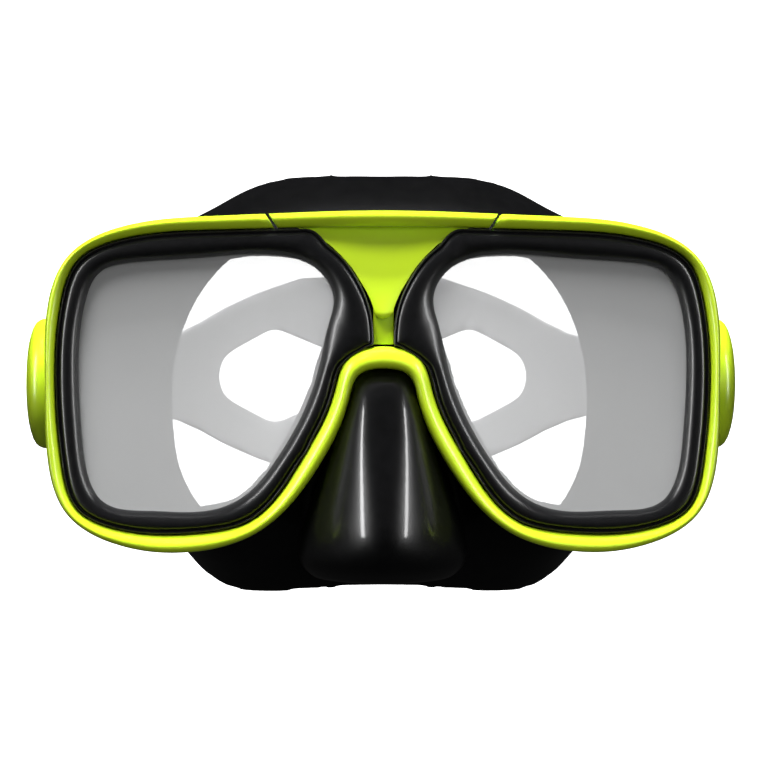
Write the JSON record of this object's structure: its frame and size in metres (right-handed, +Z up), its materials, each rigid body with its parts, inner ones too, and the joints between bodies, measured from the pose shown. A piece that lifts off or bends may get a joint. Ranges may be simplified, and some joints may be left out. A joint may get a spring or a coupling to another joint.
{
  "type": "diving mask",
  "caption": "Twin-lens diving mask with a yellow frame, black silicone skirt with a nose pocket, and a split strap in swivel buckles.",
  "frame": {"origin": "centre of the face seal, where the wearer's face closes the skirt", "axes": "+X towards the wearer's left, +Y back towards the wearer's head, +Z up"},
  "size_m": [0.1896, 0.1973, 0.1104],
  "materials": {
    "yellow_plastic": "gloss",
    "black_gloss": "gloss",
    "black_plastic": "satin",
    "black_silicone": "satin",
    "lens_glass": "clear",
    "steel": "brushed"
  },
  "bodies": {
    "mask": {"rim": "yellow_plastic", "bridge_cap": "yellow_plastic", "bridge_strut": "yellow_plastic", "skirt": "black_silicone", "skirt_retainer": "black_plastic", "left_bezel": "black_gloss", "left_lens": "lens_glass", "left_swivel_pin": "steel", "right_bezel": "black_gloss", "right_lens": "lens_glass", "right_swivel_pin": "steel"},
    "strap": {"strap": "black_silicone", "left_strap_keeper": "black_silicone", "right_strap_keeper": "black_silicone"},
    "left_buckle": {"left_buckle_body": "yellow_plastic", "left_roller_axle": "steel", "left_lever_pin": "steel", "left_lever_spring": "steel"},
    "left_roller": {"left_strap_roller": "black_plastic"},
    "left_lever": {"left_release_lever": "black_plastic"},
    "right_buckle": {"right_buckle_body": "yellow_plastic", "right_roller_axle": "steel", "right_lever_pin": "steel", "right_lever_spring": "steel"},
    "right_roller": {"right_strap_roller": "black_plastic"},
    "right_lever": {"right_release_lever": "black_plastic"}
  },
  "joints": [
    {"name": "strap_swing", "type": "hinge", "parent": "mask", "child": "strap", "pos_m": [0, -0.0125, -0.001], "axis": [1, 0, 0], "range_deg": [-80, 80]},
    {"name": "left_buckle_swivel", "type": "hinge", "parent": "mask", "child": "left_buckle", "pos_m": [0.086, -0.0125, -0.001], "axis": [1, 0, 0], "range_deg": [-80, 80]},
    {"name": "left_roller_spin", "type": "hinge", "parent": "left_buckle", "child": "left_roller", "pos_m": [0.086, 0.0095, -0.001], "axis": [0, 0, 1], "continuous": true},
    {"name": "left_lever_lift", "type": "hinge", "parent": "left_buckle", "child": "left_lever", "pos_m": [0.0892, 0.0004, -0.001], "axis": [0, 0, -1], "range_deg": [0, 45], "stiffness_Nm_per_rad": 0.02, "springref_deg": -34.38},
    {"name": "right_buckle_swivel", "type": "hinge", "parent": "mask", "child": "right_buckle", "pos_m": [-0.086, -0.0125, -0.001], "axis": [1, 0, 0], "range_deg": [-80, 80]},
    {"name": "right_roller_spin", "type": "hinge", "parent": "right_buckle", "child": "right_roller", "pos_m": [-0.086, 0.0095, -0.001], "axis": [0, 0, 1], "continuous": true},
    {"name": "right_lever_lift", "type": "hinge", "parent": "right_buckle", "child": "right_lever", "pos_m": [-0.0892, 0.0004, -0.001], "axis": [0, 0, 1], "range_deg": [0, 45], "stiffness_Nm_per_rad": 0.02, "springref_deg": -34.38}
  ],
  "couplings": [
    {"joint": "left_buckle_swivel", "follows": "strap_swing", "ratio": 1},
    {"joint": "right_buckle_swivel", "follows": "strap_swing", "ratio": 1}
  ]
}
